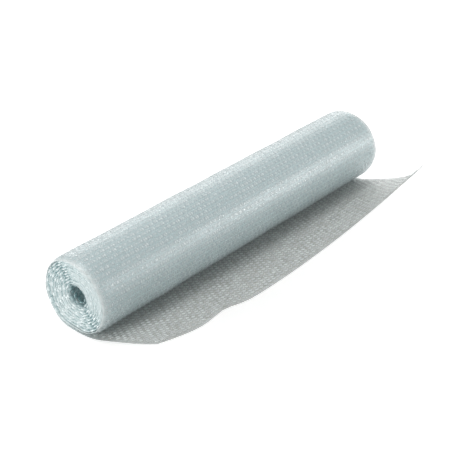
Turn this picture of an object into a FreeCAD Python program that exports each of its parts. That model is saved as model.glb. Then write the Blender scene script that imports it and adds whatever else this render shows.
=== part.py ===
import FreeCAD, Part
import math
import os

# A coreless roll of small-bubble wrap that lies on its side with a loose tail.
# The web is one strip: it is wound in a flattened spiral and its outer end runs out along the floor.
# X is the roll's axis, Z is up, and the origin is on the floor under the middle of the flat spot.
# The tail leaves from under the roll towards -Y, and the turns rise on the +Y side.

# Driving dimensions, in millimetres and degrees.
web_width = 750.0
film_thickness = 4.0
turn_gap = 0.6
turns = 12
hole_diameter = 35.5

# The roll's own weight flattens it: how far the outermost turn sinks, and how much of that chord is flat.
sag = 5.5
flat_share = 0.5

# The loose inner end curls into the hole, tighter than the turn around it.
inner_curl_radius = 11.0
inner_curl_angle = 120.0

# The tail, measured along the film from the middle of the flat spot to the cut edge.
tail_length = 201.5
rise_starts = 18.0
rise_blend = 40.0
tail_rise = 11.8

# Both corners of the cut edge lift further than its middle. A spread says how fast that fades along
# the edge, and a power how late along the tail it comes.
near_rise = 10.8
near_curl = 6.5
near_spread = 4.3
near_power = 4.0
far_rise = 8.0
far_curl = 40.0
far_spread = 2.0
far_power = 4.8

# One shallow wave in the cut edge: its place and width are shares of the web's width.
wave_rise = 7.0
wave_place = 0.2
wave_width = 0.052

# The bubbles of the web stand in a staggered lattice, with rows along the roll. In the wound turns they
# are the strip's thickness. On the open tail the film lies lower, and every third bubble each way is shaped.
tail_film = 2.0
bubble_diameter = 10.0
bubble_top = 6.4
bubble_sides = 6
bubble_pitch = 11.3
row_spacing = 9.8
shaped_step = 3
shaped_rows = 4

# How finely the tail's free-form surface is followed.
tail_sections = 16
tail_points = 5
tail_step = 1.0

# Sizes that follow.
turn_pitch = film_thickness + turn_gap
half_film = film_thickness / 2
outer_radius = hole_diameter / 2 + turns * turn_pitch
first_radius = outer_radius - half_film
sag_share = sag / first_radius
axis_height = half_film + first_radius * (1 - sag_share)
half_width = web_width / 2
shaped_pitch = shaped_step * bubble_pitch
shaped_spacing = shaped_step * row_spacing


def at(y, z):
    return FreeCAD.Vector(-half_width, y, z)


def on_circle(centre, radius, angle):
    """A point of a circle in the roll's section, at an angle from straight down towards +Y."""
    return at(centre[0] + radius * math.sin(angle), centre[1] - radius * math.cos(angle))


def arc(centre, radius, start, end):
    middle = (start + end) / 2
    return Part.Arc(*(on_circle(centre, radius, a) for a in (start, middle, end))).toShape()


def line(start, end):
    return Part.makeLine(at(*start), at(*end))


def turn_radius(turn):
    return first_radius - turn * turn_pitch


def flat_height(turn):
    """How high the flat at the bottom of a turn lies: each turn is flattened in proportion to its radius."""
    return axis_height - turn_radius(turn) * (1 - sag_share)


def corner(radius, turn):
    """The half width of a turn's flat and the radius of the arc that joins the flat to the round above it."""
    depth = sag_share * turn_radius(turn)
    reach = 2 * radius - depth
    return flat_share * math.sqrt(depth * reach), (1 - flat_share**2) * reach / 2


def corner_arc(round_centre, radius, turn, side, offset):
    """The corner arc on one side of a turn's flat, and the angle where it meets the round."""
    flat, bend = corner(radius, turn)
    centre = (side * flat, flat_height(turn) + bend)
    meets = math.atan2(flat, round_centre[1] - centre[1])
    angles = (0, meets) if side > 0 else (2 * math.pi - meets, 2 * math.pi)
    return arc(centre, bend + offset, *angles), meets


def turn_edges(turn, offset):
    """One turn of a wall, from the right end of its flat up, over the top and down to the next flat.

    The spiral steps in by half a pitch at the top, where the two rounds of a turn meet.
    """
    radius = turn_radius(turn)
    right = (0, axis_height)
    left = (0, axis_height + turn_pitch / 2)
    left_radius = radius - turn_pitch / 2
    rising, start = corner_arc(right, radius, turn, 1, offset)
    falling, end = corner_arc(left, left_radius, turn + 1, -1, offset)
    return [
        rising,
        arc(right, radius + offset, start, math.pi),
        arc(left, left_radius + offset, math.pi, 2 * math.pi - end),
        falling,
    ]


def left_flat(turn):
    """Where the flat under a turn starts on the -Y side, after the turn outside it has come down."""
    return -corner(turn_radius(turn) + turn_pitch / 2, turn)[0]


def wall(offset):
    """One face of the wound strip: +offset is its outside and -offset its inside."""
    edges = []
    for turn in range(turns):
        height = flat_height(turn) - offset
        edges.append(line((left_flat(turn), height), (corner(turn_radius(turn), turn)[0], height)))
        edges += turn_edges(turn, offset)
    height = flat_height(turns)
    edges.append(line((left_flat(turns), height - offset), (0, height - offset)))
    centre = (0, height + inner_curl_radius)
    edges.append(arc(centre, inner_curl_radius + offset, 0, math.radians(inner_curl_angle)))
    return edges


def ends(edges):
    return edges[0].firstVertex(True).Point, edges[-1].lastVertex(True).Point


def wound_roll():
    outside = wall(half_film)
    inside = wall(-half_film)
    (outer_start, outer_end), (inner_start, inner_end) = ends(outside), ends(inside)
    caps = [Part.makeLine(outer_end, inner_end), Part.makeLine(inner_start, outer_start)]
    section = Part.Wire(outside + [caps[0]] + inside[::-1] + [caps[1]])
    return Part.Face(section).extrude(FreeCAD.Vector(web_width, 0, 0))


def tail_slope(along, across):
    """The film's slope at a distance along the tail and a share of the width, 0 near and 1 far."""
    blend = min(max((along - rise_starts) / rise_blend, 0), 1)
    leaves = blend * blend * (3 - 2 * blend)
    share = along / tail_length
    near, far = (1 - across) ** near_spread, across**far_spread
    wave = wave_rise * math.exp(-(((across - wave_place) / wave_width) ** 2)) * share**2
    rise = tail_rise + near_rise * near + far_rise * far
    curl = near_curl * near * share**near_power + far_curl * far * share**far_power
    return math.radians(leaves * (rise + curl + wave))


def upright(slope):
    """The direction from the film's underside to its upper side."""
    return FreeCAD.Vector(0, math.sin(slope), math.cos(slope))


def on_tail(along, across):
    """A point of the tail, half the strip's height above its underside, found in short steps."""
    start = -left_flat(0)
    steps = max(1, math.ceil((along - start) / tail_step))
    step = (along - start) / steps
    y, z = -start, half_film
    for i in range(steps):
        slope = tail_slope(start + (i + 1 / 2) * step, across)
        y -= step * math.cos(slope)
        z += step * math.sin(slope)
    return FreeCAD.Vector(across * web_width - half_width, y, z)


def curve(points, end_slope):
    """A smooth line through the points that leaves the roll level and ends at a given slope."""
    spline = Part.BSplineCurve()
    spline.interpolate(
        Points=points,
        InitialTangent=FreeCAD.Vector(0, -1, 0),
        FinalTangent=FreeCAD.Vector(0, -math.cos(end_slope), math.sin(end_slope)),
    )
    return spline.toShape()


def tail_section(across):
    """The film's outline at one place across the web, from the roll's flat to the cut edge."""
    start = -left_flat(0)
    under, over = [], []
    for i in range(tail_points):
        along = start + (tail_length - start) * i / (tail_points - 1)
        middle, up = on_tail(along, across), upright(tail_slope(along, across))
        under.append(middle - up * half_film)
        over.append(middle + up * (tail_film - half_film))
    end_slope = tail_slope(tail_length, across)
    cut, root = Part.makeLine(under[-1], over[-1]), Part.makeLine(over[0], under[0])
    return Part.Wire([curve(under, end_slope), cut, curve(over, end_slope), root])


def tail():
    last = tail_sections - 1
    return Part.makeLoft([tail_section(i / last) for i in range(tail_sections)], True, True)


def bubble(film, along, across):
    """One bubble of few faces, square to the film, from inside it to the strip's full height."""
    middle, reach = on_tail(along, across), bubble_diameter / 2
    outwards = (on_tail(along + reach, across) - middle).normalize()
    sideways = (on_tail(along, across + reach / web_width) - middle).normalize()
    up = outwards.cross(sideways).normalize()
    sideways = up.cross(outwards)
    foot = film.distToShape(Part.Vertex(middle + up * tail_film))[1][0][0]
    ways = [2 * math.pi * i / bubble_sides for i in range(bubble_sides + 1)]
    rings = []
    for width, height in ((bubble_diameter, -tail_film / 2), (bubble_top, film_thickness - tail_film)):
        ring = [outwards * math.cos(a) + sideways * math.sin(a) for a in ways]
        rings.append(Part.makePolygon([foot + up * height + way * (width / 2) for way in ring]))
    return Part.makeLoft(rings, True, True)


def tail_bubbles(film):
    """Every third bubble each way: a staggered lattice like the whole one, from near the cut edge inwards."""
    columns = int(web_width / shaped_pitch)
    spare = (web_width - (columns - 1 / 2) * shaped_pitch) / 2
    bubbles = []
    for row in range(shaped_rows):
        along = tail_length - row_spacing * 3 / 2 - row * shaped_spacing
        for column in range(columns):
            across = spare + (column + row % 2 / 2) * shaped_pitch
            bubbles.append(bubble(film, along, across / web_width))
    return bubbles


def bubble_wrap():
    """The wound turns, the tail and its bubbles as the one strip that they are."""
    film = tail()
    return wound_roll().fuse([film] + tail_bubbles(film))


os.makedirs("parts", exist_ok=True)
bubble_wrap().exportStep("parts/bubble_wrap.step")
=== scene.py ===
import math

import bpy
import numpy as np
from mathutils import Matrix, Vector


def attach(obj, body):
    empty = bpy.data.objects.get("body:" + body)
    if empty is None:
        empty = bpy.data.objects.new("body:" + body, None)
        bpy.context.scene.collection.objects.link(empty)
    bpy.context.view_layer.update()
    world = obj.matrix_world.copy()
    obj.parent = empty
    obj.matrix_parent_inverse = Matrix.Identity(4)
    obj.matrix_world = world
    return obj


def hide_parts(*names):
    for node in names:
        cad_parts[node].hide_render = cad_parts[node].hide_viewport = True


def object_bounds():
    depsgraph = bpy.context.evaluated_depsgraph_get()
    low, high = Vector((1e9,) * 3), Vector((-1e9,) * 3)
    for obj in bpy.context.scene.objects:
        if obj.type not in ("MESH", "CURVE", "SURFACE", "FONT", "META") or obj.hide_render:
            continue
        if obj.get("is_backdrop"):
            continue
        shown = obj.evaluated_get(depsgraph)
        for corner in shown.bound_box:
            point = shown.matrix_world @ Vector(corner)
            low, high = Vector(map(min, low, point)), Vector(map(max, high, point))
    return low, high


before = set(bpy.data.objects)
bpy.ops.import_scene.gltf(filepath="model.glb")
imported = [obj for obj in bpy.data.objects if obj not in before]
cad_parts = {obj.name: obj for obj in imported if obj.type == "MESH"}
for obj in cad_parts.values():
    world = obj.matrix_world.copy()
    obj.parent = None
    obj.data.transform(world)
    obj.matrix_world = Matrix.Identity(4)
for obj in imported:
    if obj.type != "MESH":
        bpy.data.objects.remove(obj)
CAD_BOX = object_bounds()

bl_info = {
    "name": "Bubble wrap roll",
    "version": (1, 0, 0),
    "blender": (4, 5, 0),
    "location": "3D View > Sidebar > Bubble wrap",
    "description": "Winds a flat web of bubble film into a roll with a loose tail",
    "category": "Add Mesh",
}

NODE = "bubble_wrap"
BODY = "root"
WEB_MAP = "web"
RISE = "rise"
BUBBLE_PIECES = (
    "tail_bubbles", "back_bubbles", "front_bubbles", "near_end_bubbles", "far_end_bubbles",
)
END_COLUMNS = 2

# The film's grid, across and along the web, and how much closer its lines are at the long edges.
FILM_GRID = (48, 605)
CROWDING = 0.8

# The steps that close a bubble at its top and its foot: each one's rise, as a share of the dome or of
# the swelling under the film, and how much narrower it ends.
TOP_NARROWS = 0.93
TOP_STEPS = ((0.62, 0.80), (0.38, 0.55))
FOOT_STEPS = ((0.9, 0.62),)

# Where one look of the film gives way to the next, in metres along the web.
TAIL_TO_TURNS = (-0.06, 0.02)
OUTERMOST_TO_INNER = (0.43, 0.47)
# From here inwards the film is painted darker, as painted shade inside the hole.
INNER_TO_CORE = (3.10, 3.28)

# How far the paleness of the cut long edges reaches, on the film and on the bubbles: partly the film's
# pale look end on, partly painted light that lifts the shade between the turns at the roll's ends. It is
# kept off the hole.
FILM_EDGE = 0.012
BUBBLE_EDGE = 0.024

# Painted glow: emission on the film and bubbles inside the outermost turn, standing in for the light that
# the inner turns pass on to one another.
PAINTED_GLOW = 0.09

FLOOR_SIZE = 12
FLOOR_GLOW = 0.58
WORLD_LIGHT = 0.3
LAMPS_AIM_AT = (0, 0, 0.05)
# Each lamp's name, size, place and power.
LAMPS = (
    ("back softbox", (2.6, 1.4), (2.0, 2.1, 0.95), 28),
    ("top softbox", (2.0, 1.2), (-0.15, 0.5, 2.2), 21),
    ("front softbox", (1.4, 1.3), (2.15, -2.1, 0.75), 37),
    ("end softbox", (1.4, 1.4), (-2.5, 0.3, 0.65), 27),
)
CAMERA_PLACE = (-1.4431, -1.2593, 1.1581)
CAMERA_LOOKS = (0.6509, 0.5674, -0.5044)
CAMERA_LENS = 95.5
SENSOR_WIDTH = 36.0


def length(name, description, default):
    return bpy.props.FloatProperty(
        name=name, description=description, default=default, unit="LENGTH", precision=5
    )


def angle(name, description, default):
    return bpy.props.FloatProperty(
        name=name, description=description, default=math.radians(default), subtype="ANGLE"
    )


def number(name, description, default):
    return bpy.props.FloatProperty(name=name, description=description, default=default)


def colour(name, description, default):
    return bpy.props.FloatVectorProperty(
        name=name, description=description, default=default, subtype="COLOR", min=0, max=1
    )


class RollSizes(bpy.types.PropertyGroup):
    web_width: length("Web width", "Width of the film, along the roll", CAD_BOX[1][0] - CAD_BOX[0][0])
    film_height: length("Film height", "Film and bubbles together", 0.004)
    turn_gap: length("Turn gap", "Room between one turn and the next", 0.0006)
    turns: bpy.props.IntProperty(name="Turns", description="Full turns in the roll", default=12)
    hole_diameter: length("Hole", "Width of the open centre", 0.0355)
    sag: length("Sag", "How far the roll sinks on its flat spot", 0.0055)
    flat_share: number("Flat share", "Share of the sunk chord that is quite flat", 0.5)
    inner_radius: length("Inner curl", "Radius of the loose inner end", 0.011)
    inner_angle: angle("Inner curl angle", "How far the loose inner end turns", 120)


class TailSizes(bpy.types.PropertyGroup):
    length: length("Length", "From under the roll to the cut edge", 0.2015)
    starts: length("Lift starts", "Where the tail leaves the floor", 0.018)
    blend: length("Lift blend", "How long it takes to reach its slope", 0.040)
    rise: angle("Rise", "Slope of the middle of the tail", 11.8)
    near_rise: angle("Near rise", "Extra slope at the near corner", 10.8)
    near_curl: angle("Near curl", "Extra curl at the near corner", 6.5)
    near_spread: number("Near spread", "How fast the near corner's lift fades", 4.3)
    near_power: number("Near power", "How late the near curl comes", 4.0)
    far_rise: angle("Far rise", "Extra slope at the far corner", 8.0)
    far_curl: angle("Far curl", "Extra curl at the far corner", 40.0)
    far_spread: number("Far spread", "How fast the far corner's lift fades", 2.0)
    far_power: number("Far power", "How late the far curl comes", 4.8)
    wave_rise: angle("Wave", "Height of the wave in the cut edge", 7)
    wave_place: number("Wave place", "Where the wave is, as a share of the width", 0.2)
    wave_width: number("Wave width", "Width of the wave, as a share of the width", 0.052)
    pull: number("Pull", "How far the open film is drawn out, as a share of the length", 0.014)
    tip: number("Tip", "How much longer the far corner is, as a share of the length", 0.072)
    tip_width: number("Tip width", "Width of that corner, as a share of the width", 0.075)
    near_width: number("Near width", "Width of the near corner, as a share of the width", 0.25)
    fullness: number("Fullness", "How much fuller the edge is beside the near corner", 1.4)


class Softness(bpy.types.PropertyGroup):
    ripple: length("Ripple", "How far the outer turns sink and swell", 0.00025)
    rim: length("Rim", "How far the rim of every turn bends inwards", 0.0010)
    outer_rim: length("Outer rim", "How much further it bends on the outer turns", 0.0014)
    last_rim: length("Outermost rim", "How much further still on the outermost turn", 0.0012)
    crumple: length("Crumple", "How far the innermost turns are creased", 0.0013)
    wander: length("Wander", "How uneven the web's long edges are", 0.0009)
    recess: length("Recess", "How far the web has slipped along the roll at its inner end", 0.0020)
    slip: length("Slip", "How far it slipped at once, near the second turn", 0.0022)
    tuck: length("Tuck", "How far both rims of the core stand back", 0.003)
    flare: length("Flare", "How far the outer turns spread at both ends", 0.0038)
    far_flare: length("Far flare", "How much more they spread at the far end", 0.0012)
    root_skew: length("Root skew", "How far the tail's near edge slants where it leaves the roll", 0.006)
    end_skew: length("End skew", "How far it slants back towards its corner", 0.011)


class BubbleSizes(bpy.types.PropertyGroup):
    diameter: length("Diameter", "Width of one bubble at the film", 0.0100)
    pitch: length("Pitch", "From one bubble to the next in a row", 0.0113)
    margin: length("Margin", "From the edge of the web to the lattice's first half pitch", 0.004925)
    row: length("Row spacing", "From one row to the next", 0.0098)
    film: length("Film thickness", "Thickness of the flat film", 0.0003)
    puff: length("Puff", "How far a bubble swells on the film's flat side", 0.0005)
    spare: length("Room above", "From the top of a bubble to the next turn", 0.0001)
    wall_share: number("Wall share", "How much of a bubble's height is its upright side", 0.55)
    least_air: number("Least air", "Height of the lowest sound bubble, as a share", 0.84)
    slack_air: number("Slack air", "Height of a slack bubble, as a share", 0.5)
    edge_air: number("Edge air", "Height of a bubble at the open edges, as a share", 0.3)
    lean: number("Lean", "How far a bubble's top leans, as a share of its height", 0.06)
    unevenness: length("Unevenness", "How far a bubble is from its place in the lattice", 0.00018)
    slack_share: number("Slack share", "How many of the bubbles have lost some air", 0.03)
    sides: bpy.props.IntProperty(name="Sides", description="Corners round one bubble", default=12)


class Colours(bpy.types.PropertyGroup):
    film: colour("Film", "The film where it lies in many turns", (0.60, 0.76, 0.78))
    outer: colour("Outer film", "The outermost turn", (0.66, 0.80, 0.82))
    # Painted shade: a darker film colour for the innermost turns, standing in for the shade inside the
    # hole.
    core: colour("Core film", "The innermost turns, round the hole", (0.26, 0.43, 0.45))
    clear: colour("Clear film", "The film where it lies open", (0.64, 0.65, 0.61))
    cell: colour("Bubbles", "The bubbles' own skin", (0.86, 0.93, 0.94))
    # Partly painted light: a near white for the cut edges, lifting the shade between the turns at the
    # roll's ends.
    edge: colour("Cut edge", "Where the film is seen end on", (0.92, 0.98, 0.98))
    floor: colour("Floor", "The floor that the roll lies on", (0.86, 0.86, 0.86))


SETTINGS = {
    "roll": RollSizes,
    "tail": TailSizes,
    "softness": Softness,
    "bubbles": BubbleSizes,
    "wrap_colours": Colours,
}


def arc_points(centre, radius, start, end, step=math.radians(2)):
    """Points of an arc from straight down towards +Y, with the direction to its centre at each."""
    a = np.linspace(start, end, max(2, math.ceil(abs(end - start) / step) + 1))
    place = np.stack([centre[0] + radius * np.sin(a), centre[1] - radius * np.cos(a)], 1)
    return np.hstack([place, np.stack([-np.sin(a), np.cos(a)], 1)])


def flat_points(start, end, height):
    y = np.linspace(start, end, 5)
    return np.stack([y, np.full_like(y, height), np.zeros_like(y), np.ones_like(y)], 1)


def smooth(low, high, value):
    t = np.clip((value - low) / (high - low), 0, 1)
    return t * t * (3 - 2 * t)


class Strip:
    """Where each point of the flat web lies once it is wound.

    Across is the distance from the near edge. Along is the distance from the middle of the flat spot,
    negative on the tail. Depth is measured from the outer face of the strip towards the roll's axis.
    """

    def __init__(self, scene):
        roll, self.tail, self.soft = scene.roll, scene.tail, scene.softness
        self.roll, self.width = roll, roll.web_width
        self.pitch, self.half = roll.film_height + roll.turn_gap, roll.film_height / 2
        self.first = roll.hole_diameter / 2 + roll.turns * self.pitch - self.half
        self.sag_share = roll.sag / self.first
        self.axis = self.half + self.first * (1 - self.sag_share)
        self.wind()
        self.spread_tail()

    def radius(self, turn):
        return self.first - turn * self.pitch

    def flat_height(self, turn):
        return self.axis - self.radius(turn) * (1 - self.sag_share)

    def corner(self, radius, turn):
        """The half width of a turn's flat and the radius of the bend beside it."""
        depth = self.sag_share * self.radius(turn)
        reach = 2 * radius - depth
        share = self.roll.flat_share
        return share * math.sqrt(depth * reach), (1 - share**2) * reach / 2

    def half_turn(self, centre, radius, turn, side):
        """One side of a turn: the bend beside the flat, then the round up to the top, or the reverse."""
        flat, bend = self.corner(radius, turn)
        low = (side * flat, self.flat_height(turn) + bend)
        meets = math.atan2(flat, centre[1] - low[1])
        if side > 0:
            return [arc_points(low, bend, 0, meets), arc_points(centre, radius, meets, math.pi)]
        full = 2 * math.pi
        return [
            arc_points(centre, radius, math.pi, full - meets),
            arc_points(low, bend, full - meets, full),
        ]

    def wind(self):
        """Follows the middle of the strip through every turn and the loose inner end."""
        runs = []
        for turn in range(self.roll.turns):
            radius, inner = self.radius(turn), self.radius(turn) - self.pitch / 2
            left = -self.corner(radius + self.pitch / 2, turn)[0]
            runs.append(flat_points(left, self.corner(radius, turn)[0], self.flat_height(turn)))
            runs += self.half_turn((0, self.axis), radius, turn, 1)
            runs += self.half_turn((0, self.axis + self.pitch / 2), inner, turn + 1, -1)
        last = self.roll.turns
        height = self.flat_height(last)
        left = -self.corner(self.radius(last) + self.pitch / 2, last)[0]
        runs.append(flat_points(left, 0, height))
        curl = self.roll.inner_radius
        runs.append(arc_points((0, height + curl), curl, 0, self.roll.inner_angle))
        path = np.concatenate(runs)
        gone = np.concatenate([[0], np.cumsum(np.linalg.norm(np.diff(path[:, :2], axis=0), axis=1))])
        keep = np.concatenate([[True], np.diff(gone) > 1e-9])
        self.path, self.gone = path[keep], gone[keep] + path[0, 0]
        self.starts, self.ends = self.gone[0], self.gone[-1]

    def slope(self, along, across):
        """The tail's slope, at a distance from the flat spot and a share of the width."""
        t = self.tail
        share = np.minimum(along / t.length, 1)
        near, far = (1 - across) ** t.near_spread, across**t.far_spread
        wave = t.wave_rise * np.exp(-(((across - t.wave_place) / t.wave_width) ** 2)) * share**2
        rise = t.rise + t.near_rise * near + t.far_rise * far
        curl = t.near_curl * near * share**t.near_power + t.far_curl * far * share**t.far_power
        return smooth(t.starts, t.starts + t.blend, along) * (rise + curl + wave)

    def spread_tail(self, steps=200, stations=121):
        """A table of the tail's middle surface, stepped out from the flat spot."""
        self.reach = self.tail.length * (1 + 2 * self.tail.pull + self.tail.tip)
        along = np.linspace(-self.starts, self.reach, steps)[None, :]
        across = np.linspace(0, 1, stations)[:, None]
        slope = self.slope(along, across)
        step = along[0, 1] - along[0, 0]
        run = np.cumsum(np.cos(slope[:, :-1]), 1) * step
        lift = np.cumsum(np.sin(slope[:, :-1]), 1) * step
        start = np.zeros((stations, 1))
        y = self.starts - np.hstack([start, run])
        z = self.half + np.hstack([start, lift])
        self.table = np.stack([y, z, np.sin(slope), np.cos(slope)], 2)

    def on_tail(self, across, along):
        """Reads the table between its points. The open film is drawn out, most of all at its corners."""
        stations, steps, _ = self.table.shape
        tail, share = self.tail, across / self.width
        far = np.clip((share - 1) / tail.tip_width + 1, 0, 1)
        near = np.clip(1 - share / tail.near_width, 0, 1)
        beside = np.sin(math.pi * near)
        pull = tail.pull * (1 + near + tail.fullness * beside) + tail.tip * far**2
        pulled = np.where(along < self.starts, along * (1 + pull), along)
        i = np.clip(share, 0, 1) * (stations - 1)
        j = np.clip((self.starts - pulled) / (self.reach + self.starts), 0, 1) * (steps - 1)
        i0, j0 = np.minimum(i.astype(int), stations - 2), np.minimum(j.astype(int), steps - 2)
        u, v = (i - i0)[:, None], (j - j0)[:, None]
        t = self.table
        low = t[i0, j0] * (1 - v) + t[i0, j0 + 1] * v
        high = t[i0 + 1, j0] * (1 - v) + t[i0 + 1, j0 + 1] * v
        return low * (1 - u) + high * u

    def on_roll(self, along):
        return np.stack([np.interp(along, self.gone, self.path[:, k]) for k in range(4)], 1)

    def turn_share(self, along):
        """How far in a point is, from 0 on the outermost turn to 1 at the hole."""
        inside = np.clip(along / self.ends, 0, 1)
        outer, inner = self.first**2, (self.roll.hole_diameter / 2) ** 2
        return (self.first - np.sqrt(outer - inside * (outer - inner))) / (self.first - inner**0.5)

    def to_edge(self, across):
        """How near a point is to a long edge, 0 in the middle and 1 there, and which: -1 near or 1 far."""
        from_middle = across / self.width * 2 - 1
        return np.abs(from_middle), np.sign(from_middle)

    # In the two sums below the waves' lengths have no simple ratio, so that nothing seems to repeat.

    def sinks(self, across, along, turn, inside):
        """How much nearer to the axis a point lies than on an even roll."""
        soft, (edge, side) = self.soft, self.to_edge(across)
        ripple = np.sin(across * 31 + along * 17) + np.sin(across * 53 - along * 29 + 1.3)
        ripple = ripple * soft.ripple * inside * (1 - turn)
        outermost = 1 - smooth(0.40, 0.50, along)
        rim = soft.rim + soft.outer_rim * (1 - turn) + soft.last_rim * outermost
        rim = rim * smooth(0.955, 1.0, edge) ** 2 * inside * (0.7 - 0.3 * side)
        creases = np.sin(along * 95 + np.sin(across * 60) * 2) + np.sin(across * 140 + along * 61)
        crumple = soft.crumple * (1 + 0.9 * creases) * smooth(0.86, 1.0, turn)
        return ripple + rim + crumple

    def shifts(self, across, along, turn, inside):
        """How far along the roll a point lies from its place on an even one."""
        soft, (edge, side) = self.soft, self.to_edge(across)
        wander = np.sin(along * 23) + np.sin(along * 41 + 2) + 0.6 * np.sin(along * 97 + 1)
        wander = wander * soft.wander * smooth(0.7, 1.0, edge) * inside
        recess = soft.recess * turn + soft.slip * smooth(0.13, 0.19, turn)
        at_rim = np.clip(1 - np.minimum(across, self.width - across) / 0.05, 0, 1)
        tuck = -side * soft.tuck * smooth(0.84, 0.95, turn) * at_rim
        flare = (soft.flare + soft.far_flare * side) * side
        flare = flare * smooth(0.80, 1.0, edge) * inside * (1 - turn)
        out = np.clip(-along / self.tail.length, 0, 1)
        skew = soft.root_skew * smooth(0, 0.25, out) - soft.end_skew * out
        return wander + recess + tuck + flare + skew * (1 - across / self.width)

    def place(self, across, along, depth):
        """Winds points of the flat web. The roll is a little uneven, as a soft thing is."""
        wound = along > self.starts
        middle = np.where(wound[:, None], self.on_roll(along), self.on_tail(across, along))
        turn, inside = self.turn_share(along), smooth(0, 0.12, along)
        inward = depth - self.half + self.sinks(across, along, turn, inside)
        x = across - self.width / 2 + self.shifts(across, along, turn, inside)
        y = middle[:, 0] + inward * middle[:, 2]
        z = middle[:, 1] + inward * middle[:, 3]
        return np.stack([x, y, z], 1)


def deselect_all():
    if bpy.context.object and bpy.context.object.mode != "OBJECT":
        bpy.ops.object.mode_set(mode="OBJECT")
    bpy.ops.object.select_all(action="DESELECT")


def apply_modifiers(obj):
    bpy.context.view_layer.objects.active = obj
    for modifier in list(obj.modifiers):
        bpy.ops.object.modifier_apply(modifier=modifier.name)


def points_of(mesh):
    points = np.zeros(len(mesh.vertices) * 3)
    mesh.vertices.foreach_get("co", points)
    return points.reshape(-1, 3)


def set_points(mesh, points):
    mesh.vertices.foreach_set("co", points.ravel())
    mesh.update()


def note_web(mesh, flat):
    """Keeps each corner's place on the flat web as a map, in metres."""
    corners = np.zeros(len(mesh.loops), np.int32)
    mesh.loops.foreach_get("vertex_index", corners)
    layer = mesh.uv_layers.new(name=WEB_MAP)
    layer.data.foreach_set("uv", flat[corners, :2].astype(np.float32).ravel())


def note_rise(mesh, rise):
    layer = mesh.attributes.new(RISE, "FLOAT", "POINT")
    layer.data.foreach_set("value", rise.astype(np.float32))


def finish_piece(obj, name, material):
    obj.name = obj.data.name = name
    obj.data.materials.clear()
    obj.data.materials.append(material)
    obj.data.shade_smooth()
    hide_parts(NODE)
    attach(obj, BODY)
    return obj


class Socket:
    """A shader value, so that sums are written as sums."""

    def __init__(self, shader, socket):
        self.shader, self.socket = shader, socket

    def math(self, operation, *others):
        return self.shader.node("ShaderNodeMath", {"operation": operation}, [self, *others])

    def __add__(self, other):
        return self.math("ADD", other)

    def __sub__(self, other):
        return self.math("SUBTRACT", other)

    def __mul__(self, other):
        return self.math("MULTIPLY", other)

    def __truediv__(self, other):
        return self.math("DIVIDE", other)

    def __rsub__(self, other):
        return self.shader.node("ShaderNodeMath", {"operation": "SUBTRACT"}, [other, self])

    __radd__ = __add__
    __rmul__ = __mul__


class Shader:
    """A material and its nodes."""

    def __init__(self, name):
        self.material = bpy.data.materials.new(name)
        self.material.use_nodes = True
        self.tree = self.material.node_tree
        self.surface = self.tree.nodes["Principled BSDF"]

    def node(self, kind, settings=None, inputs=(), output=0):
        """Adds a node: its settings first, then the values or links of its sockets."""
        node = self.tree.nodes.new(kind)
        for key, value in (settings or {}).items():
            setattr(node, key, value)
        pairs = inputs.items() if isinstance(inputs, dict) else enumerate(inputs)
        for key, value in pairs:
            self.feed(node.inputs[key], value)
        return Socket(self, node.outputs[output])

    def feed(self, socket, value):
        if isinstance(value, Socket):
            self.tree.links.new(value.socket, socket)
        else:
            socket.default_value = value

    def set(self, **sockets):
        for key, value in sockets.items():
            self.feed(self.surface.inputs[key.replace("_", " ").title()], value)

    def mix(self, share, low, high):
        return self.node(
            "ShaderNodeMix", {"data_type": "RGBA"}, {"Factor": share, 6: low, 7: high}, 2
        )

    def step(self, value, low, high):
        """0 below low, 1 above high and smooth between."""
        return self.node(
            "ShaderNodeMapRange",
            {"interpolation_type": "SMOOTHSTEP"},
            {"Value": value, "From Min": low, "From Max": high},
        )

    def noise(self, scale, detail=2.0):
        place = self.node("ShaderNodeTexCoord", output="Object")
        return self.node(
            "ShaderNodeTexNoise", None, {"Vector": place, "Scale": scale, "Detail": detail}
        )

    def web(self):
        """The place on the flat web, across and along."""
        flat = self.node("ShaderNodeUVMap", {"uv_map": WEB_MAP})
        split = self.node("ShaderNodeSeparateXYZ", None, [flat])
        node = split.socket.node
        return Socket(self, node.outputs["X"]), Socket(self, node.outputs["Y"])


def rgba(value):
    return (*value, 1.0)


def nearest_bubble(shader, across, along, bubbles, tail):
    """The distance to the middle of the nearest bubble in metres, and a chance value of its own."""
    both = []
    for shift in (0.0, 0.5):
        u = (across - bubbles.margin) / bubbles.pitch + shift
        v = (along + tail.length + bubbles.row / 2) / (2 * bubbles.row) + shift
        which = shader.node(
            "ShaderNodeCombineXYZ", None, [u.math("FLOOR"), v.math("FLOOR"), shift * 7]
        )
        chance = shader.node("ShaderNodeTexWhiteNoise", {"noise_dimensions": "3D"}, [which])
        u, v = (u.math("FRACT") - 0.5) * bubbles.pitch, (v.math("FRACT") - 0.5) * (2 * bubbles.row)
        both.append(((u * u + v * v).math("SQRT"), chance))
    (first, chance), (second, other) = both
    nearer = second.math("LESS_THAN", first)
    return first.math("MINIMUM", second), chance + nearer * (other - chance)


def cut_edge(shader, across, width, reach):
    """1 where the web was cut at its two long edges, fading out over a distance."""
    from_edge = (across - width / 2).math("ABSOLUTE")
    return shader.step(from_edge, width / 2 - reach, width / 2)


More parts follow.
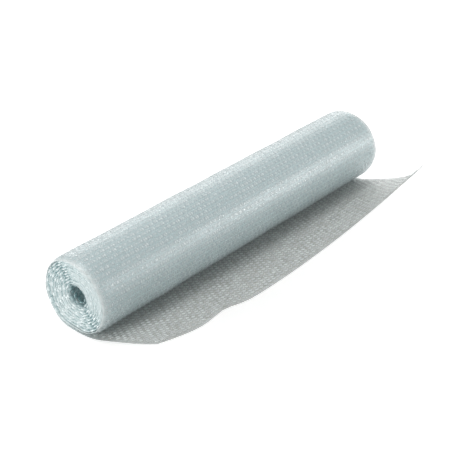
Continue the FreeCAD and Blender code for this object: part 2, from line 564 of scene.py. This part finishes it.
def film_material(scene):
    """The flat film: clear on the tail, milkier over the bubbles and where many turns lie behind it. Round
    the hole it is painted darker, as painted shade; inside the outermost turn it has a painted glow; its
    cut edges are painted pale.
    """
    bubbles, colours = scene.bubbles, scene.wrap_colours
    shader = Shader("bubble film")
    across, along = shader.web()
    far, chance = nearest_bubble(shader, across, along, bubbles, scene.tail)
    over = 1 - shader.step(far, bubbles.diameter * 0.30, bubbles.diameter * 0.56)
    # Mask of the innermost turns, where the film is painted darker as shade in the hole and its painted
    # glow and paleness are turned down.
    inner = shader.step(along, *OUTERMOST_TO_INNER)
    core = shader.step(along, *INNER_TO_CORE)
    wound = shader.step(along, *TAIL_TO_TURNS)
    # Painted paleness at the cut edges, partly the film's look end on and partly painted light lifting the
    # shade between the turns; weaker round the hole and on the tail.
    cut = cut_edge(shader, across, scene.roll.web_width, FILM_EDGE)
    cut = cut * (1 - core * 0.8) * (wound * 0.8 + 0.2)
    cloud = shader.step(shader.noise(30.0), 0.3, 0.7)
    grain = shader.step(shader.noise(420.0), 0.35, 0.65)
    deep = shader.mix(inner, rgba(colours.outer), rgba(colours.film))
    deep = shader.mix(core, deep, rgba(colours.core))
    tone = shader.mix(wound, rgba(colours.clear), deep)
    tone = shader.mix(over * (0.15 + chance * 0.5) + grain * 0.15, tone, rgba(colours.cell))
    open_film = 0.46 + cloud * 0.06 - over * 0.10
    outer_film = 0.52 + grain * 0.10 - over * (0.06 + chance * 0.12)
    inner_film = 0.60 + over * 0.20
    wound_film = outer_film + inner * (inner_film - outer_film)
    shader.set(
        base_color=shader.mix(cut, tone, rgba(colours.edge)),
        # Painted glow inside the outermost turn, turned down round the hole.
        emission_color=shader.mix(inner * (1 - core * 0.6), rgba((0, 0, 0)), rgba(colours.film)),
        emission_strength=PAINTED_GLOW,
        roughness=0.20 + chance * 0.08 + cloud * 0.10,
        coat_weight=1.0,
        coat_roughness=0.36,
        alpha=(open_film + wound * (wound_film - open_film)).math("MAXIMUM", cut * 0.8),
    )
    crinkle = shader.noise(260.0) * 0.5 + shader.noise(900.0) * 0.25
    puckers = shader.step(far, bubbles.diameter * 0.20, bubbles.diameter * 0.60)
    puckers = puckers * (0.25 + chance * 0.35)
    bump = shader.node(
        "ShaderNodeBump", None, {"Strength": 0.5, "Distance": 0.0012, "Height": crinkle - puckers}
    )
    shader.set(normal=bump)
    return shader.material


def cell_material(scene):
    """A bubble's skin: thin and clear on top, milkier down its side where it is seen edge on. On the tail
    the tops are painted lighter and more opaque, as painted highlights; round the hole the skin is painted
    darker, as painted shade; inside the outermost turn it has a painted glow.
    """
    bubbles, colours = scene.bubbles, scene.wrap_colours
    shader = Shader("bubble skin")
    across, along = shader.web()
    far, chance = nearest_bubble(shader, across, along, bubbles, scene.tail)
    wound = shader.step(along, *TAIL_TO_TURNS)
    # Painted paleness at the cut edges, partly the film's look end on and partly painted light lifting the
    # shade between the turns; weaker on the tail.
    cut = cut_edge(shader, across, scene.roll.web_width, BUBBLE_EDGE) * (wound * 0.8 + 0.2)
    rise = shader.node("ShaderNodeAttribute", {"attribute_name": RISE}, output="Fac")
    top = shader.step(rise, 0.35, 0.95)
    # Mask of the innermost turns, where the skin is painted darker as shade in the hole.
    core = shader.step(along, *INNER_TO_CORE)
    # Mask of the painted glow: inside the outermost turn, weaker round the hole.
    inner = shader.step(along, *OUTERMOST_TO_INNER) * (1 - core * 0.6)
    under = 1 - shader.step(rise, 0.0, 0.15)
    rim = shader.step(far, bubbles.diameter * 0.25, bubbles.diameter * 0.5)
    foot = under * rim.math("MAXIMUM", cut)
    # Painted highlights: on the tail the bubble tops are coloured lighter than their sides, where the
    # lamps glint on the domes and the sides facing the camera lie in shade.
    loose = shader.mix(0.30 + top * 0.5, rgba(colours.clear), rgba(colours.cell))
    tight = shader.mix(top, rgba(colours.cell), rgba(colours.outer))
    skin = shader.mix(core, shader.mix(wound, loose, tight), rgba(colours.core))
    # The tail's tops are also more opaque, so that their painted highlights show.
    open_skin = 0.20 + top * (0.16 + chance * 0.26)
    wound_skin = 0.54 - top * 0.26 + chance * 0.20 - foot * 0.46
    shader.set(
        base_color=shader.mix(cut * (1 - core), skin, rgba(colours.edge)),
        # Painted glow inside the outermost turn, weaker round the hole.
        emission_color=shader.mix(inner, rgba((0, 0, 0)), rgba(colours.film)),
        emission_strength=PAINTED_GLOW,
        roughness=0.12 + chance * 0.12,
        coat_weight=1.0,
        coat_roughness=0.08,
        alpha=open_skin + wound * (wound_skin - open_skin) + cut * (1 - under) * 0.25,
    )
    return shader.material


class WRAP_OT_film(bpy.types.Operator):
    """Cuts the flat film, gives it its thickness and winds it"""

    bl_idname = "wrap.film"
    bl_label = "Wind the film"

    def execute(self, context):
        scene = context.scene
        strip, bubbles = Strip(scene), scene.bubbles
        deselect_all()
        bpy.ops.mesh.primitive_grid_add(
            x_subdivisions=FILM_GRID[0], y_subdivisions=FILM_GRID[1], size=1
        )
        film = context.object
        flat = points_of(film.data)
        share = flat[:, 0] + 0.5
        crowded = share - CROWDING * np.sin(2 * math.pi * share) / (2 * math.pi)
        total = strip.tail.length + strip.ends
        flat[:, 0] = crowded * strip.width
        flat[:, 1] = (flat[:, 1] + 0.5) * total - strip.tail.length
        flat[:, 2] = bubbles.puff
        set_points(film.data, flat)
        wall = film.modifiers.new("thickness", "SOLIDIFY")
        wall.thickness, wall.offset = bubbles.film, 1
        apply_modifiers(film)
        flat = points_of(film.data)
        while film.data.uv_layers:
            film.data.uv_layers.remove(film.data.uv_layers[0])
        note_web(film.data, flat)
        set_points(film.data, strip.place(*flat.T))
        finish_piece(film, "film", film_material(scene))
        return {"FINISHED"}


def select_end(bubble, way):
    """Selects the face that closes the bubble at its top or at its foot."""
    bpy.ops.mesh.select_all(action="DESELECT")
    bpy.ops.object.mode_set(mode="OBJECT")
    for face in bubble.data.polygons:
        face.select = face.normal.z * way > 0.9
    bpy.ops.object.mode_set(mode="EDIT")


def flat_bubble(bubbles, height):
    """One bubble on the flat film: upright sides, a domed top and a slight swelling under the film."""
    deselect_all()
    wall = height * bubbles.wall_share
    bpy.ops.mesh.primitive_cylinder_add(
        vertices=bubbles.sides,
        radius=bubbles.diameter / 2,
        depth=wall,
        location=(0, 0, bubbles.puff + wall / 2),
    )
    bubble = bpy.context.object
    bpy.ops.object.transform_apply(location=True)
    bpy.ops.object.mode_set(mode="EDIT")
    bpy.ops.mesh.select_mode(type="FACE")
    for way, room, narrows, steps in (
        (1, height - wall, TOP_NARROWS, TOP_STEPS),
        (-1, -bubbles.puff, 1.0, FOOT_STEPS),
    ):
        select_end(bubble, way)
        bpy.ops.transform.resize(value=(narrows, narrows, 1))
        for rise, shrink in steps:
            move = {"value": (0, 0, rise * room)}
            bpy.ops.mesh.extrude_region_move(TRANSFORM_OT_translate=move)
            bpy.ops.transform.resize(value=(shrink, shrink, 1))
    bpy.ops.object.mode_set(mode="OBJECT")
    return bubble


def repeat(obj, count, offset):
    array = obj.modifiers.new("repeat", "ARRAY")
    array.count, array.use_relative_offset = count, False
    array.use_constant_offset, array.constant_offset_displace = True, offset


def heights(bubbles, rng, row, column, columns, one):
    """How full each bubble is, once for each of its points. It is slack along the web's open edges."""
    total = len(row) // one
    fill = rng.uniform(bubbles.least_air, 1.0, total)
    fill = np.where(rng.random(total) < bubbles.slack_share, bubbles.slack_air, fill)
    fill = np.repeat(fill, one)
    at_side = np.where(row % 2 == 0, column == 0, column == columns - 1) & (columns > END_COLUMNS)
    return np.where((row == 0) | at_side, fill * bubbles.edge_air, fill)


def bubble_rows(scene, across, rows, columns, name, material, seed):
    """A field of bubbles, staggered from row to row, wound with the film."""
    strip, bubbles = Strip(scene), scene.bubbles
    height = scene.roll.film_height - bubbles.puff - bubbles.spare
    bubble = flat_bubble(bubbles, height)
    one, count = len(bubble.data.vertices), rows[1] - rows[0]
    repeat(bubble, columns, (bubbles.pitch, 0, 0))
    repeat(bubble, count, (0, bubbles.row, 0))
    apply_modifiers(bubble)
    flat = points_of(bubble.data)
    index = np.arange(len(flat)) // one
    row, column = rows[0] + index // columns, index % columns
    above = flat[:, 2] - bubbles.puff
    rng = np.random.default_rng(seed)
    fill = heights(bubbles, rng, row, column, columns, one)
    slip = rng.normal(0, bubbles.unevenness, (count * columns, 2))[index]
    lean = rng.normal(0, bubbles.lean, (count * columns, 2))[index]
    flat[:, 2] = bubbles.puff + np.where(above > 0, above * fill, above)
    flat[:, :2] += slip + lean * np.maximum(above, 0)[:, None]
    flat[:, 0] += across + bubbles.pitch / 2 * (row % 2)
    flat[:, 1] += (rows[0] + 0.5) * bubbles.row - strip.tail.length
    while bubble.data.uv_layers:
        bubble.data.uv_layers.remove(bubble.data.uv_layers[0])
    note_web(bubble.data, flat)
    note_rise(bubble.data, np.clip(above / height, 0, 1))
    set_points(bubble.data, strip.place(*flat.T))
    return finish_piece(bubble, name, material)


def row_at(scene, along):
    """The first row of bubbles past a distance along the web."""
    return math.ceil((along + scene.tail.length) / scene.bubbles.row)


class WRAP_OT_bubbles(bpy.types.Operator):
    """Lays the bubbles on the tail, round the outermost turn and at both ends of the turns inside it"""

    bl_idname = "wrap.bubbles"
    bl_label = "Add the bubbles"

    def execute(self, context):
        scene = context.scene
        strip, bubbles = Strip(scene), scene.bubbles
        material = cell_material(scene)
        columns = round((strip.width - 2 * bubbles.margin) / bubbles.pitch + 0.5)
        near, around = bubbles.margin, 2 * math.pi * strip.first
        cuts = [0, row_at(scene, 0), row_at(scene, around / 2), row_at(scene, around)]
        for seed, (name, rows) in enumerate(zip(BUBBLE_PIECES, zip(cuts, cuts[1:]))):
            bubble_rows(scene, near, rows, columns, name, material, seed)
        inner = (cuts[-1], row_at(scene, strip.ends) - 1)
        far = near + (columns - END_COLUMNS) * bubbles.pitch
        for seed, (name, start) in enumerate(zip(BUBBLE_PIECES[3:], (near, far)), 5):
            bubble_rows(scene, start, inner, END_COLUMNS, name, material, seed)
        return {"FINISHED"}


def add_lamp(name, size, place, power):
    light = bpy.data.lights.new(name, "AREA")
    light.shape, light.size, light.size_y = "RECTANGLE", *size
    light.energy = power
    lamp = bpy.data.objects.new(name, light)
    bpy.context.scene.collection.objects.link(lamp)
    lamp.location = place
    aim = Vector(LAMPS_AIM_AT) - Vector(place)
    lamp.rotation_euler = aim.to_track_quat("-Z", "Y").to_euler()


class WRAP_OT_stage(bpy.types.Operator):
    """Adds the floor, the lamps, the world and the camera"""

    bl_idname = "wrap.stage"
    bl_label = "Add the stage"

    def execute(self, context):
        scene = context.scene
        deselect_all()
        bpy.ops.mesh.primitive_plane_add(size=FLOOR_SIZE)
        floor = context.object
        floor.name = "floor"
        shader = Shader("floor")
        shader.set(base_color=rgba(scene.wrap_colours.floor), roughness=0.9)
        # Straight from the camera, and in the roll's gloss, the floor is as white as paper.
        seen = shader.node("ShaderNodeLightPath", output="Is Camera Ray")
        through = shader.node("ShaderNodeLightPath", output="Transparent Depth")
        shader.surface.inputs["Emission Color"].default_value = (1, 1, 1, 1)
        straight = through.math("LESS_THAN", 0.5)
        glossy = shader.node("ShaderNodeLightPath", output="Is Glossy Ray")
        glow = (seen * straight + glossy) * FLOOR_GLOW
        shader.feed(shader.surface.inputs["Emission Strength"], glow)
        floor.data.materials.append(shader.material)
        floor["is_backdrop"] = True

        world = bpy.data.worlds.new("studio")
        scene.world = world
        world.use_nodes = True
        world.node_tree.nodes["Background"].inputs["Color"].default_value = (1, 1, 1, 1)
        world.node_tree.nodes["Background"].inputs["Strength"].default_value = WORLD_LIGHT

        for lamp in LAMPS:
            add_lamp(*lamp)

        camera = bpy.data.cameras.new("camera")
        camera.lens, camera.sensor_width = CAMERA_LENS, SENSOR_WIDTH
        eye = bpy.data.objects.new("camera", camera)
        scene.collection.objects.link(eye)
        eye.location = CAMERA_PLACE
        eye.rotation_euler = Vector(CAMERA_LOOKS).to_track_quat("-Z", "Y").to_euler()
        scene.camera = eye
        scene.view_settings.view_transform = "Standard"
        return {"FINISHED"}


class WRAP_PT_panel(bpy.types.Panel):
    """Lists the parts of the roll"""

    bl_label = "Bubble wrap"
    bl_idname = "WRAP_PT_panel"
    bl_space_type = "VIEW_3D"
    bl_region_type = "UI"
    bl_category = "Bubble wrap"

    def draw(self, context):
        for name in SETTINGS:
            settings = getattr(context.scene, name)
            for key in settings.__annotations__:
                self.layout.prop(settings, key)
        for operator in OPERATORS:
            self.layout.operator(operator.bl_idname)


OPERATORS = (WRAP_OT_film, WRAP_OT_bubbles, WRAP_OT_stage)
CLASSES = (*SETTINGS.values(), *OPERATORS, WRAP_PT_panel)


def register():
    for cls in CLASSES:
        bpy.utils.register_class(cls)
    for name, settings in SETTINGS.items():
        setattr(bpy.types.Scene, name, bpy.props.PointerProperty(type=settings))


def unregister():
    for name in SETTINGS:
        delattr(bpy.types.Scene, name)
    for cls in reversed(CLASSES):
        bpy.utils.unregister_class(cls)


def declare_sheet(scene):
    """The web is one flat sheet: its length is the wound path and the tail, edge to edge. This only works
    out the strip once; nothing is declared or kept.
    """
    strip = Strip(scene)


def main():
    register()
    bpy.ops.wrap.film()
    bpy.ops.wrap.bubbles()
    bpy.ops.wrap.stage()
    declare_sheet(bpy.context.scene)
    boxes = {"cad": CAD_BOX, "visual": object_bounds()}
    boxes = {key: [list(map(float, corner)) for corner in box] for key, box in boxes.items()}


if __name__ == "__main__":
    main()
